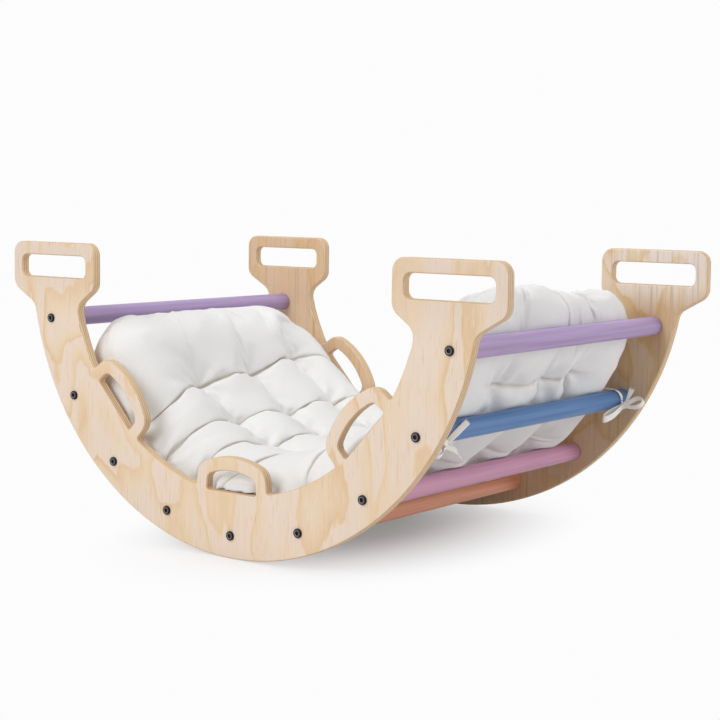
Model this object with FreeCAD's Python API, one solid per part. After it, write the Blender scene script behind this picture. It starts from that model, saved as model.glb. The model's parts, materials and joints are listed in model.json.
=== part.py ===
import FreeCAD, Part
import math
import os

# Climbing arch: two rocker side panels joined by round rungs, with a tufted cushion tied inside.
# Lengths are in millimetres and angles in degrees. X runs along the arch, Y from the front panel
# to the rear one, and Z up from the floor that the rockers stand on.

# Rungs, spaced on a circle about the middle of the arch
rung_circle_radius = 400.0
rung_count = 9
rung_step_angle = 19.0
rung_diameter = 30.0
rung_length = 565.0
rung_end_rounding = 2.0

# Side panels
panel_thickness = 15.0
panel_edge_rounding = 2.5
band_outer_margin = 35.0
band_inner_margin = 62.0

# Ears at the panel tips, each with a hand slot
ear_width = 188.0
ear_inset = 16.0
ear_rise = 25.0
ear_side_height = 72.0
neck_drop = 75.0
ear_corner_radius = 20.0
shoulder_radius = 22.0
neck_radius = 22.0
hand_slot_width = 147.0
hand_slot_height = 35.0
hand_slot_top_rim = 21.0
hand_slot_corner_radius = 11.0

# Loop handles on the inner edge of the band
loop_steps_apart = 2.5
loop_base_width = 141.0
loop_top_width = 130.0
loop_rise = 56.0
loop_crown_radius = 140.0
loop_corner_radius = 25.0
loop_root_radius = 4.0
loop_rim = 21.0
loop_slot_lift = 3.0
loop_slot_corner_radius = 12.0
loop_slot_base_radius = 4.0

# Bolts through the panels and the threaded inserts in the rung ends
bolt_diameter = 6.0
bolt_head_diameter = 14.0
bolt_head_height = 3.4
bolt_head_rounding = 1.4
bolt_grip_length = 15.0
socket_width = 4.0
socket_depth = 2.2
socket_sides = 6
bolt_hole_clearance = 0.4
insert_diameter = 10.0
insert_length = 20.0
insert_flange_diameter = 13.0
insert_flange_thickness = 1.2
insert_hole_spare = 4.0
fit_clearance = 0.05

# Cushion
cushion_rung_gap = 0.5
cushion_side_gap = 10.5
cushion_thickness = 100.0
cushion_wall = 6.0
cushion_start_angle = -74.5
cushion_end_angle = 86.0
taper_start_angle = 30.0
taper_depth = 32.0
first_tuft_angle = -48.0
last_tuft_angle = 64.0
tuft_row_count = 7
puff_column_count = 4
tuft_depth = 20.0
row_channel_depth = 11.0
column_channel_depth = 9.0
shoulder_depth = 15.0
side_bulge = 26.0
row_side_draw = 5.0
end_rounding = 70.0
end_corner_radius = 115.0
tip_thickness = 22.0
tip_scallop = 1.5
end_station_shares = (0.0, 0.05, 0.2, 0.5, 1.0)

# Tape ties
tie_rung_steps = 3
tape_width = 8.0
tape_thickness = 0.8
tie_gap = 0.3
tie_panel_inset = 34.0
tie_root_reach = 42.0
knot_diameter = 9.0
knot_rounding = 2.0
knot_turn_angle = -10.0
bow_loop_length = 40.0
bow_loop_height = 11.0
bow_tail_length = 30.0
bow_tail_angle = 55.0
bow_droop_angle = 22.0

# How far a cutting shape runs past what it cuts
overrun = 5.0

# Values worked out from the sizes above
band_outer_radius = rung_circle_radius + band_outer_margin
band_inner_radius = rung_circle_radius - band_inner_margin
arch_centre_height = band_outer_radius
rung_radius = rung_diameter / 2
rung_half_length = rung_length / 2
ear_middle = rung_circle_radius - ear_inset
ear_top = arch_centre_height + ear_rise
neck_height = arch_centre_height - neck_drop
cushion_outer_radius = rung_circle_radius - rung_radius - cushion_rung_gap
cushion_inner_radius = cushion_outer_radius - cushion_thickness
cushion_middle_radius = (cushion_outer_radius + cushion_inner_radius) / 2
cushion_half_width = rung_half_length - cushion_side_gap

ACROSS = FreeCAD.Vector(0, 1, 0)
ARCH_CENTRE = FreeCAD.Vector(0, 0, arch_centre_height)


def point(x, y, z):
    return FreeCAD.Vector(x, y, z)


def polar(radius, angle, y=0):
    """Point at a radius from the arch's centre line, its angle counted from straight down."""
    turn = math.radians(angle)
    return point(radius * math.sin(turn), y, arch_centre_height - radius * math.cos(turn))


def rung_angles():
    middle = (rung_count - 1) / 2
    return [(number - middle) * rung_step_angle for number in range(rung_count)]


def turned(shape, angle):
    """The shape carried round the arch's centre line from straight down to the angle."""
    copy = shape.copy()
    copy.rotate(ARCH_CENTRE, ACROSS, -angle)
    return copy


def plate(corners):
    """Flat plate of panel thickness with straight sides between X-Z corners."""
    outline = [point(x, 0, z) for x, z in corners]
    face = Part.Face(Part.makePolygon(outline + outline[:1]))
    return face.extrude(ACROSS * panel_thickness)


def disc(radius, centre):
    """Round plate of panel thickness."""
    return Part.makeCylinder(radius, panel_thickness, centre, ACROSS)


def runs_through(edge):
    """Whether an edge runs straight from one face of the panel to the other."""
    first = edge.Vertexes[0].Point
    last = edge.Vertexes[-1].Point
    return math.hypot(first.x - last.x, first.z - last.z) < abs(first.y - last.y) / 2


def edges_at(solid, corners):
    """Edges through the plate that stand at the given X-Z corners."""
    near = panel_edge_rounding / 2
    found = []
    for edge in filter(runs_through, solid.Edges):
        place = edge.Vertexes[0].Point
        if any(math.hypot(place.x - x, place.z - z) < near for x, z in corners):
            found.append(edge)
    return found


def rounded(solid, radius, corners):
    return solid.makeFillet(radius, edges_at(solid, corners))


def neck_width_at(radius):
    """Distance from the arch's middle plane to a circle of the band, at the height of the necks."""
    return math.sqrt(radius ** 2 - neck_drop ** 2)


def band():
    """The curved band of the rocker, up to the necks below the ears."""
    ring = disc(band_outer_radius, ARCH_CENTRE).cut(disc(band_inner_radius, ARCH_CENTRE))
    reach = band_outer_radius
    below_necks = plate([(-reach, 0), (reach, 0), (reach, neck_height), (-reach, neck_height)])
    return ring.common(below_necks)


def ear(side):
    """Hand grip at one tip, widening from the neck to a rounded rectangle."""
    shoulder = ear_top - ear_side_height
    inner = side * (ear_middle - ear_width / 2)
    outer = side * (ear_middle + ear_width / 2)
    neck_outer = side * neck_width_at(band_outer_radius)
    neck_inner = side * neck_width_at(band_inner_radius)
    solid = plate([
        (inner, ear_top), (outer, ear_top), (outer, shoulder),
        (neck_outer, neck_height), (neck_inner, neck_height), (inner, shoulder),
    ])
    solid = rounded(solid, ear_corner_radius, [(inner, ear_top), (outer, ear_top)])
    return rounded(solid, shoulder_radius, [(inner, shoulder), (outer, shoulder)])


def hand_slot(side):
    top = ear_top - hand_slot_top_rim
    bottom = top - hand_slot_height
    inner = side * (ear_middle - hand_slot_width / 2)
    outer = side * (ear_middle + hand_slot_width / 2)
    corners = [(inner, top), (outer, top), (outer, bottom), (inner, bottom)]
    return rounded(plate(corners), hand_slot_corner_radius, corners)


def loop_half_width(rise):
    """Half the outside width of a loop handle at a height above the band's inner edge."""
    taper = (loop_base_width - loop_top_width) / 2
    return loop_base_width / 2 - taper * rise / loop_rise


def crowned_plate(half_base, half_top, base, crown_rise, crown_radius, corner_radius):
    """Plate on the lowest point of the band's inner edge, with sloping sides and an arched top."""
    floor = arch_centre_height - band_inner_radius
    crown_centre = floor + crown_rise - crown_radius
    sides = plate([
        (-half_base, floor + base), (half_base, floor + base),
        (half_top, floor + crown_rise), (-half_top, floor + crown_rise),
    ])
    solid = sides.common(disc(crown_radius, point(0, 0, crown_centre)))
    top_edges = [edge for edge in solid.Edges if runs_through(edge)
                 and edge.Vertexes[0].Point.z > floor + crown_rise / 2]
    return solid.makeFillet(corner_radius, top_edges)


def loop_handle():
    """Outside of a loop handle, rooted a little inside the band."""
    root = -loop_rim
    return crowned_plate(loop_half_width(root), loop_half_width(loop_rise), root,
                         loop_rise, loop_crown_radius, loop_corner_radius)


def loop_slot():
    """Finger opening of a loop handle, one rim inside its outside."""
    top = loop_rise - loop_rim
    half_base = loop_half_width(loop_slot_lift) - loop_rim
    solid = crowned_plate(half_base, loop_half_width(top) - loop_rim, loop_slot_lift,
                          top, loop_crown_radius - loop_rim, loop_slot_corner_radius)
    base = arch_centre_height - band_inner_radius + loop_slot_lift
    return rounded(solid, loop_slot_base_radius, [(-half_base, base), (half_base, base)])


def loop_angles():
    spacing = loop_steps_apart * rung_step_angle
    return [-spacing, 0, spacing]


def round_roots(solid):
    """Soften the inside corners where the loop handles leave the band."""
    roots = []
    for edge in filter(runs_through, solid.Edges):
        place = edge.Vertexes[0].Point
        radius = math.hypot(place.x, place.z - arch_centre_height)
        below_neck = place.z < neck_height - neck_radius
        if below_neck and abs(radius - band_inner_radius) < fit_clearance:
            roots.append(edge)
    return solid.makeFillet(loop_root_radius, roots)


def panel_outline():
    """Band, ears and loop handles as one board, its inside corners rounded."""
    solid = band()
    for side in (-1, 1):
        solid = solid.fuse(ear(side))
    for angle in loop_angles():
        solid = solid.fuse(turned(loop_handle(), angle))
    solid = solid.removeSplitter()
    necks = []
    for radius in (band_outer_radius, band_inner_radius):
        for side in (-1, 1):
            necks.append((side * neck_width_at(radius), neck_height))
    return round_roots(rounded(solid, neck_radius, necks))


def side_panel():
    """One rocker panel with its face at zero, slots cut through and every edge eased."""
    solid = panel_outline()
    for side in (-1, 1):
        solid = solid.cut(hand_slot(side))
    for angle in loop_angles():
        solid = solid.cut(turned(loop_slot(), angle))
    solid = solid.makeFillet(panel_edge_rounding, [e for e in solid.Edges if not runs_through(e)])
    hole_radius = bolt_diameter / 2 + bolt_hole_clearance
    for angle in rung_angles():
        start = polar(rung_circle_radius, angle, -overrun)
        solid = solid.cut(Part.makeCylinder(hole_radius, panel_thickness + 2 * overrun, start, ACROSS))
    return solid


def rung(angle):
    """Round rung between the panels, bored at both ends for its inserts."""
    start = polar(rung_circle_radius, angle, -rung_half_length)
    solid = Part.makeCylinder(rung_radius, rung_length, start, ACROSS)
    rims = [edge for edge in solid.Edges if len(edge.Vertexes) == 1]
    solid = solid.makeFillet(rung_end_rounding, rims)
    for end in (-1, 1):
        mouth = polar(rung_circle_radius, angle, end * rung_half_length)
        inward = ACROSS * -end
        bore = insert_diameter / 2 + fit_clearance
        depth = insert_length + insert_hole_spare
        solid = solid.cut(Part.makeCylinder(bore, depth, mouth, inward))
        seat = insert_flange_diameter / 2 + fit_clearance
        solid = solid.cut(Part.makeCylinder(seat, insert_flange_thickness, mouth, inward))
    return solid


def threaded_insert(angle, end):
    """Flanged sleeve in a rung end, flush with the end face."""
    mouth = polar(rung_circle_radius, angle, end * rung_half_length)
    inward = ACROSS * -end
    sleeve = Part.makeCylinder(insert_diameter / 2, insert_length, mouth, inward)
    flange = Part.makeCylinder(insert_flange_diameter / 2, insert_flange_thickness, mouth, inward)
    bore = Part.makeCylinder(bolt_diameter / 2 + fit_clearance, insert_length, mouth, inward)
    return sleeve.fuse(flange).cut(bore).removeSplitter()


def hexagon(width, depth, centre, direction):
    """Six-sided prism across Y for a bolt's socket."""
    radius = width / 2 / math.cos(math.pi / socket_sides)
    corners = []
    for number in range(socket_sides + 1):
        turn = math.tau * number / socket_sides
        corners.append(centre + point(radius * math.cos(turn), 0, radius * math.sin(turn)))
    return Part.Face(Part.makePolygon(corners)).extrude(direction * depth)


def bolt(angle, end):
    """Low round-head bolt with a hexagon socket, its head flat on the panel's outside face."""
    outward = ACROSS * end
    seat = polar(rung_circle_radius, angle, end * (rung_half_length + panel_thickness))
    head = Part.makeCylinder(bolt_head_diameter / 2, bolt_head_height, seat, outward)
    crown = seat + outward * bolt_head_height
    rim = [edge for edge in head.Edges if len(edge.Vertexes) == 1
           and abs(edge.Vertexes[0].Point.y - crown.y) < fit_clearance]
    head = head.makeFillet(bolt_head_rounding, rim)
    head = head.cut(hexagon(socket_width, socket_depth, crown, outward * -1))
    shank = Part.makeCylinder(bolt_diameter / 2, panel_thickness + bolt_grip_length, seat, outward * -1)
    return head.fuse(shank).removeSplitter()


def inner_radius(angle):
    """Radius of the cushion's inner face, which leaves it thinner towards its right end."""
    share = (angle - taper_start_angle) / (cushion_end_angle - taper_start_angle)
    return cushion_inner_radius + taper_depth * max(share, 0)


def section_outline(angle, crown_depth, seam_depth, edge_depth, half_width):
    """Closed outline across the cushion: scalloped faces between seams, and sides that bulge out.

    The depths are how far the puffs' middles, the seams and the shoulders lie below the crown."""
    shoulder = half_width - side_bulge
    pitch = 2 * shoulder / puff_column_count
    seams = [-shoulder + pitch * number for number in range(puff_column_count + 1)]
    depths = [edge_depth] + [seam_depth] * (puff_column_count - 1) + [edge_depth]

    def face(radius, inward):
        arcs = []
        for number in range(puff_column_count):
            start = polar(radius + inward * depths[number], angle, seams[number])
            middle = polar(radius + inward * crown_depth, angle, seams[number] + pitch / 2)
            end = polar(radius + inward * depths[number + 1], angle, seams[number + 1])
            arcs.append((start, middle, end))
        return arcs

    inner = face(inner_radius(angle), 1)
    outer = [arc[::-1] for arc in reversed(face(cushion_outer_radius, -1))]
    middle_radius = (inner_radius(angle) + cushion_outer_radius) / 2
    rear_side = (inner[-1][2], polar(middle_radius, angle, half_width), outer[0][0])
    front_side = (outer[-1][2], polar(middle_radius, angle, -half_width), inner[0][0])
    arcs = inner + [rear_side] + outer + [front_side]
    return Part.Wire([Part.Arc(*arc).toShape() for arc in arcs])


def end_stations(tip_angle, inward, inset):
    """Outlines from a thin tip to full thickness, rounded in thickness and at the corners."""
    wires = []
    for share in end_station_shares:
        along = share * end_rounding
        left = 1 - share
        angle = tip_angle + inward * math.degrees((along + inset) / cushion_middle_radius)
        thinning = (cushion_outer_radius - inner_radius(angle) - tip_thickness) / 2
        depth = inset + thinning * (1 - math.sqrt(1 - left ** 2))
        corner = max(end_corner_radius - along, 0)
        draw = end_corner_radius - math.sqrt(end_corner_radius ** 2 - corner ** 2)
        seam = depth + tip_scallop + (column_channel_depth - tip_scallop) * share
        edge = depth + tip_scallop + (shoulder_depth - tip_scallop) * share
        wires.append(section_outline(angle, depth, seam, edge, cushion_half_width - inset - draw))
    return wires


def tufted_form(inset):
    """Rows of puffs along the rungs, drawn in where they are sewn through, an inset below the surface."""
    pitch = (last_tuft_angle - first_tuft_angle) / (tuft_row_count - 1)
    half_width = cushion_half_width - inset
    wires = end_stations(cushion_start_angle, 1, inset)
    for row in range(tuft_row_count):
        angle = first_tuft_angle + row * pitch
        row_edge = shoulder_depth + row_channel_depth
        wires.append(section_outline(angle, inset + row_channel_depth, inset + tuft_depth,
                                     inset + row_edge, half_width - row_side_draw))
        if row < tuft_row_count - 1:
            wires.append(section_outline(angle + pitch / 2, inset, inset + column_channel_depth,
                                         inset + shoulder_depth, half_width))
    wires += reversed(end_stations(cushion_end_angle, -1, inset))
    return Part.makeLoft(wires, True)


def cushion():
    """Long tufted cushion: a padded cover closed round the space of its loose fill."""
    return tufted_form(0).cut(tufted_form(cushion_wall))


def teardrop(radius, reach, angle, start_y):
    """Solid round a rung that runs to a point towards the cushion."""
    centre = polar(rung_circle_radius, angle, start_y)
    toward = point(-math.sin(math.radians(angle)), 0, math.cos(math.radians(angle)))
    along = toward.cross(ACROSS)
    opening = math.acos(radius / reach)
    apex = centre + toward * reach
    base = centre + toward * (radius * math.cos(opening))
    half = along * (radius * math.sin(opening))
    wedge = Part.Face(Part.makePolygon([apex, base + half, base - half, apex])).extrude(ACROSS * tape_width)
    return Part.makeCylinder(radius, tape_width, centre, ACROSS).fuse(wedge)


def bow_loop(height, length, thickness):
    """Flattened loop of tape along X from the origin, its width across Y."""
    radius = height / 2

    def stadium(reach, start, end):
        body = Part.makeBox(end - start, tape_width, 2 * reach, point(start, 0, -reach))
        for x in (start, end):
            body = body.fuse(Part.makeCylinder(reach, tape_width, point(x, 0, 0), ACROSS))
        return body.removeSplitter()

    outer = stadium(radius, radius, length - radius)
    return outer.cut(stadium(radius - thickness, radius, length - radius))


def tape_tie(side, end):
    """Tape round a rung from the cushion's corner, tied on the outside in a bow."""
    angle = side * tie_rung_steps * rung_step_angle
    middle_y = end * (rung_half_length - tie_panel_inset)
    start_y = middle_y - tape_width / 2
    inside = rung_radius + tie_gap
    outside = inside + tape_thickness
    wrap = teardrop(outside, tie_root_reach * outside / inside, angle, start_y)
    wrap = wrap.cut(teardrop(inside, tie_root_reach, angle, start_y))
    rung_centre = polar(rung_circle_radius, angle, start_y)
    down = math.radians(side * (90 - abs(angle) + knot_turn_angle))
    outward = point(side * math.cos(down), 0, -abs(math.sin(down)))
    knot_centre = rung_centre + outward * (outside + knot_diameter / 2 - tape_thickness)
    knot = Part.makeCylinder(knot_diameter / 2, tape_width, knot_centre, ACROSS)
    knot = knot.makeFillet(knot_rounding, [e for e in knot.Edges if len(e.Vertexes) == 1])
    loop = bow_loop(bow_loop_height, bow_loop_length, tape_thickness)
    tail = Part.makeBox(bow_tail_length, tape_width, tape_thickness)
    pieces = [wrap, knot]
    flip = 0 if side > 0 else 180
    for shape, lift in ((loop, 0), (tail, bow_tail_angle)):
        piece = shape.copy()
        piece.rotate(point(0, 0, 0), ACROSS, flip - side * lift)
        piece.translate(knot_centre)
        pieces.append(piece)
    hanging = loop.copy()
    hanging.translate(point(0, -tape_width / 2, 0))
    hanging.rotate(point(0, 0, 0), point(0, 0, 1), -90 * end)
    hanging.rotate(point(0, 0, 0), point(1, 0, 0), end * bow_droop_angle)
    hanging.translate(knot_centre + ACROSS * (tape_width / 2) + outward * (bow_loop_height / 2))
    pieces.append(hanging)
    return pieces[0].multiFuse(pieces[1:]).removeSplitter()


def nodes():
    """Every node's name with its solid or group of solids."""
    front = side_panel()
    front.translate(ACROSS * (-rung_half_length - panel_thickness))
    rear = side_panel()
    rear.translate(ACROSS * rung_half_length)
    yield "side_panel_front", front
    yield "side_panel_rear", rear
    for number, angle in enumerate(rung_angles(), 1):
        yield "rung_%d" % number, rung(angle)
    for name, end in (("front", -1), ("rear", 1)):
        yield "bolts_" + name, Part.makeCompound([bolt(angle, end) for angle in rung_angles()])
        yield "inserts_" + name, Part.makeCompound([threaded_insert(angle, end) for angle in rung_angles()])
        yield "tie_left_" + name, tape_tie(-1, end)
        yield "tie_right_" + name, tape_tie(1, end)
    yield "cushion", cushion()


os.makedirs("parts", exist_ok=True)
for name, shape in nodes():
    shape.exportStep(os.path.join("parts", name + ".step"))
    print(name, len(shape.Solids), "solid(s),", "valid" if shape.isValid() else "NOT VALID",
          "%.0f mm3" % shape.Volume)
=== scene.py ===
import bpy
import bmesh
import json
import math
import random
from mathutils import Matrix, Vector

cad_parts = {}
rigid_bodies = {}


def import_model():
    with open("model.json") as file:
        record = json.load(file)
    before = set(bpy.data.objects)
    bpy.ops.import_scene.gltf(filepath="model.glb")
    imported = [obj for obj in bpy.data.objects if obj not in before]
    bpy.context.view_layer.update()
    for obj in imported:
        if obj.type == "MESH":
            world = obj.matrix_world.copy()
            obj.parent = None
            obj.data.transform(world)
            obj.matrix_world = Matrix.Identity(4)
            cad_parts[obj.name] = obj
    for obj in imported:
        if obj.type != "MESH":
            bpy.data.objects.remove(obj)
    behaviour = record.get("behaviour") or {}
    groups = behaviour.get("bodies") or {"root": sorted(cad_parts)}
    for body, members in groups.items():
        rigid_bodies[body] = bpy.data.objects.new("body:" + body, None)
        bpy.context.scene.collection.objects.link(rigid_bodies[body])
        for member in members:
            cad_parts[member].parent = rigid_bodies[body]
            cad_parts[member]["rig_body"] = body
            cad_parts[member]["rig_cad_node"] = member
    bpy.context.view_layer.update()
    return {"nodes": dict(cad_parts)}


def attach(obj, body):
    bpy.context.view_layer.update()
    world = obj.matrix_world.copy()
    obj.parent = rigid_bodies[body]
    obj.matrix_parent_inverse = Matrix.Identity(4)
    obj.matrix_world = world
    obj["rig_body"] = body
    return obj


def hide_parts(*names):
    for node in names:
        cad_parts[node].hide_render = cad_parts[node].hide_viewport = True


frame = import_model()

# Sizes repeated from the part's source, in metres and degrees
MM = 0.001
ARCH_HEIGHT = 435 * MM
RUNG_CIRCLE = 400 * MM
RUNG_RADIUS = 15 * MM
RUNG_STEP = 19.0
RUNG_COUNT = 9
RUNG_HALF_LENGTH = 282.5 * MM
PANEL_OUTSIDE = 297.5 * MM
PANEL_THICKNESS = 15 * MM
BOLT_HEAD_HEIGHT = 3.4 * MM

rng = random.Random(7)


def smoothstep(low, high, value):
    share = min(max((value - low) / (high - low), 0.0), 1.0)
    return share * share * (3 - 2 * share)


def around_arch(radius, angle, y):
    """Point at a radius from the arch's centre line, its angle counted from straight down."""
    turn = math.radians(angle)
    return Vector((radius * math.sin(turn), y, ARCH_HEIGHT - radius * math.cos(turn)))


def rung_axes():
    """Where the rungs' middle lines cross the plane y = 0, from left to right."""
    middle = RUNG_COUNT // 2
    return [around_arch(RUNG_CIRCLE, RUNG_STEP * (number - middle), 0) for number in range(RUNG_COUNT)]


def deselect():
    if bpy.context.mode != "OBJECT":
        bpy.ops.object.mode_set(mode="OBJECT")
    bpy.ops.object.select_all(action="DESELECT")


def choose(piece):
    deselect()
    piece.select_set(True)
    bpy.context.view_layer.objects.active = piece


def apply_all(piece):
    choose(piece)
    for modifier in list(piece.modifiers):
        bpy.ops.object.modifier_apply(modifier=modifier.name)


def dress(piece, material):
    piece.data.materials.clear()
    piece.data.materials.append(material)


# Node helpers for the finishes

class Finish:
    """A material's node tree with short ways to add and wire nodes."""

    def __init__(self, name):
        self.material = bpy.data.materials.new(name)
        self.material.use_nodes = True
        self.tree = self.material.node_tree
        self.tree.nodes.clear()
        self.output = self.add("ShaderNodeOutputMaterial")
        self.shader = self.add("ShaderNodeBsdfPrincipled")
        self.join(self.shader, 0, self.output, 0)
        self.place = self.add("ShaderNodeTexCoord").outputs

    def add(self, kind, **settings):
        node = self.tree.nodes.new(kind)
        for name, value in settings.items():
            setattr(node, name, value)
        return node

    def join(self, source, outlet, target, inlet):
        self.tree.links.new(source.outputs[outlet], target.inputs[inlet])

    def feed(self, target, inlet, value):
        if isinstance(value, bpy.types.NodeSocket):
            self.tree.links.new(value, target.inputs[inlet])
        else:
            target.inputs[inlet].default_value = value

    def math(self, operation, first, second=0.0):
        node = self.add("ShaderNodeMath", operation=operation)
        for number, value in enumerate((first, second)):
            self.feed(node, number, value)
        return node.outputs[0]

    def stretched(self, scale, offset=(0, 0, 0), turn=(0, 0, 0), source=None):
        node = self.add("ShaderNodeMapping")
        node.inputs["Scale"].default_value = scale
        node.inputs["Location"].default_value = offset
        node.inputs["Rotation"].default_value = turn
        self.feed(node, "Vector", source or self.place["Object"])
        return node.outputs[0]

    def noise(self, vector, scale, detail=3.0, roughness=0.5, distortion=0.0):
        node = self.add("ShaderNodeTexNoise")
        self.feed(node, "Vector", vector)
        node.inputs["Scale"].default_value = scale
        node.inputs["Detail"].default_value = detail
        node.inputs["Roughness"].default_value = roughness
        node.inputs["Distortion"].default_value = distortion
        return node.outputs["Fac"]

    def mix(self, share, first, second, blend="MIX"):
        node = self.add("ShaderNodeMix", data_type="RGBA", blend_type=blend)
        self.feed(node, "Factor", share)
        for inlet, value in ((6, first), (7, second)):
            if isinstance(value, tuple) and len(value) == 3:
                value = (*value, 1)
            self.feed(node, inlet, value)
        return node.outputs[2]

    def span(self, value, low, high, new_low=0.0, new_high=1.0):
        node = self.add("ShaderNodeMapRange", interpolation_type="SMOOTHSTEP")
        for inlet, number in zip(range(5), (value, low, high, new_low, new_high)):
            self.feed(node, inlet, number)
        return node.outputs[0]

    def split(self, vector):
        node = self.add("ShaderNodeSeparateXYZ")
        self.feed(node, 0, vector)
        return node.outputs

    def bump(self, height, strength, distance, below=None):
        node = self.add("ShaderNodeBump")
        node.inputs["Strength"].default_value = strength
        node.inputs["Distance"].default_value = distance
        self.feed(node, "Height", height)
        if below is not None:
            self.feed(node, "Normal", below)
        return node.outputs[0]

    def set(self, **sockets):
        for name, value in sockets.items():
            self.feed(self.shader, name.replace("_", " "), value)
        return self.material


# Colours and scales of the pine plywood; a scale is given across, through and up the board
GRAIN_OFFSET = (4.6, 0.4, 2.2)
REAR_SHEET_SHIFT = (2.37, 1.13)
TRUNK_SCALE = (8.0, 1.0, 3.4)
WANDER_SCALE = (70, 70, 22)
FIBRE_SCALE = (420, 420, 9)
TICK_SCALE = (520, 520, 34)
VEIN_SCALE = (170, 170, 5)
RING_COUNT = 6.5
RING_WANDER = 0.45
PLY_COUNT = 7
SPRING_WOOD = (0.825, 0.69, 0.57)
SUMMER_WOOD = (0.835, 0.67, 0.475)
LATE_WOOD = (0.68, 0.40, 0.175)
DARK_TICK = (0.60, 0.39, 0.22)
DARK_FIBRE = (0.70, 0.51, 0.335)
DARK_VEIN = (0.44, 0.29, 0.16)
# the backs' tint is a yellower veneer darkened as painted shade; the leg's tint below it is painted shade
BACK_VENEER_AND_SHADE = (0.90, 0.77, 0.63)
BACK_LEG_SHADE = (0.78, 0.695, 0.565)
BACK_EAR_TINT = (1.0, 1.06, 1.15)
HANDLED_TINT = (0.94, 0.94, 0.955)
LONG_GRAIN_PLY = (0.80, 0.62, 0.41)
END_GRAIN_PLY = (0.61, 0.405, 0.22)
PLY_STREAK = (0.46, 0.275, 0.14)
GLUE = (0.30, 0.17, 0.085)


def pine_plywood():
    """Pale pine veneer with long upright grain, and glued plies that show along the edges."""
    f = Finish("pine_plywood")
    axes = f.split(f.place["Object"])
    normal = f.split(f.place["Normal"])
    rear = f.math("GREATER_THAN", axes[1], 0.0)
    shift = f.add("ShaderNodeCombineXYZ")
    f.feed(shift, 0, f.math("MULTIPLY", rear, REAR_SHEET_SHIFT[0]))
    f.feed(shift, 2, f.math("MULTIPLY", rear, REAR_SHEET_SHIFT[1]))
    moved = f.add("ShaderNodeVectorMath", operation="ADD")
    f.feed(moved, 0, f.place["Object"])
    f.feed(moved, 1, shift.outputs[0])
    board = moved.outputs[0]
    # growth rings peeled almost flat: a slow field drawn out along the trunk, read off in ragged contours
    trunk = f.stretched(TRUNK_SCALE, GRAIN_OFFSET, source=board)
    rings = f.noise(trunk, 1.0, detail=2.0, roughness=0.45, distortion=0.5)
    wander = f.noise(f.stretched(WANDER_SCALE, source=board), 1.0, detail=4.0, roughness=0.6)
    field = f.math("ADD", f.math("MULTIPLY", rings, RING_COUNT), f.math("MULTIPLY", wander, RING_WANDER))
    tooth = f.math("FRACT", field)
    late_wood = f.math("POWER", tooth, 6.0)
    fall = f.span(tooth, 0.92, 1.0, 1.0, 0.0)
    shown = f.noise(f.stretched((5.0, 5.0, 3.6), (0.7, 0.2, 0.4), source=board), 1.0, detail=1.0)
    calm = f.span(f.math("ABSOLUTE", axes[0]), 0.06, 0.30, 0.5, 1.0)
    marked = f.math("MULTIPLY", calm, f.span(shown, 0.36, 0.60, 0.35, 1.0))
    lines = f.math("MULTIPLY", f.math("MULTIPLY", late_wood, fall), marked)
    fibre = f.noise(f.stretched(FIBRE_SCALE, source=board), 1.0, detail=4.0, roughness=0.65)
    tick = f.noise(f.stretched(TICK_SCALE, (0.3, 0.0, 0.6), source=board), 1.0, detail=2.0)
    # a ring runs from pinkish spring wood to yellow summer wood
    pale = f.mix(f.span(tooth, 0.25, 0.85), SPRING_WOOD, SUMMER_WOOD)
    grained = f.mix(f.math("MULTIPLY", lines, 0.85), pale, LATE_WOOD)
    grained = f.mix(f.span(tick, 0.60, 0.74, 0.0, 0.42), grained, DARK_TICK)
    face = f.mix(f.span(fibre, 0.42, 0.74, 0.0, 0.30), grained, DARK_FIBRE)
    # the panels' backs are a yellower sheet, darkened as painted shade, paler at its right ear, and
    # browner still in the leg below it as painted shade
    inward = f.math("LESS_THAN", f.math("MULTIPLY", normal[1], axes[1]), 0.0)
    leg_shade_and_ear = f.mix(f.span(axes[2], 0.36, 0.41), BACK_LEG_SHADE, BACK_EAR_TINT)
    back_tint_and_shade = f.mix(f.span(axes[0], 0.22, 0.36), BACK_VENEER_AND_SHADE, leg_shade_and_ear)
    back = f.mix(1.0, face, back_tint_and_shade, "MULTIPLY")
    vein = f.noise(f.stretched(VEIN_SCALE, source=board), 1.0, detail=3.0, roughness=0.6)
    back = f.mix(f.span(vein, 0.5, 0.72, 0.0, 0.55), back, DARK_VEIN)
    # the outsides of the grips are a little darker from handling
    worn = f.mix(f.span(axes[2], 0.34, 0.42), (1, 1, 1), HANDLED_TINT)
    face = f.mix(inward, f.mix(1.0, face, worn, "MULTIPLY"), back)
    # plies: seven sheets through the thickness, every other one end grain
    depth = f.math("SUBTRACT", f.math("ABSOLUTE", axes[1]), RUNG_HALF_LENGTH)
    ply = f.math("MULTIPLY", depth, PLY_COUNT / PANEL_THICKNESS)
    sheet = f.math("PINGPONG", ply, 1.0)
    glue = f.math("FRACT", ply)
    glue_line = f.math("GREATER_THAN", f.math("ABSOLUTE", f.math("SUBTRACT", glue, 0.5)), 0.44)
    streak = f.noise(f.stretched((90, 900, 90)), 1.0, detail=3.0)
    end_grain = f.mix(f.span(sheet, 0.35, 0.65), LONG_GRAIN_PLY, END_GRAIN_PLY)
    end_grain = f.mix(f.span(streak, 0.35, 0.7, 0.0, 0.30), end_grain, PLY_STREAK)
    edge = f.mix(f.math("MULTIPLY", glue_line, 0.40), end_grain, GLUE)
    flat = f.span(f.math("ABSOLUTE", normal[1]), 0.72, 0.93)
    colour = f.mix(flat, edge, face)
    relief = f.math("ADD", f.math("MULTIPLY", lines, 0.5), f.math("MULTIPLY", fibre, 0.5))
    rough = f.span(fibre, 0.3, 0.7, 0.44, 0.56)
    return f.set(Base_Color=colour, Roughness=rough, Specular_IOR_Level=0.35,
                 Normal=f.bump(relief, 0.16, 0.0006))


STREAK_DARK = 0.90
STREAK_LIGHT = 1.08


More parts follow.
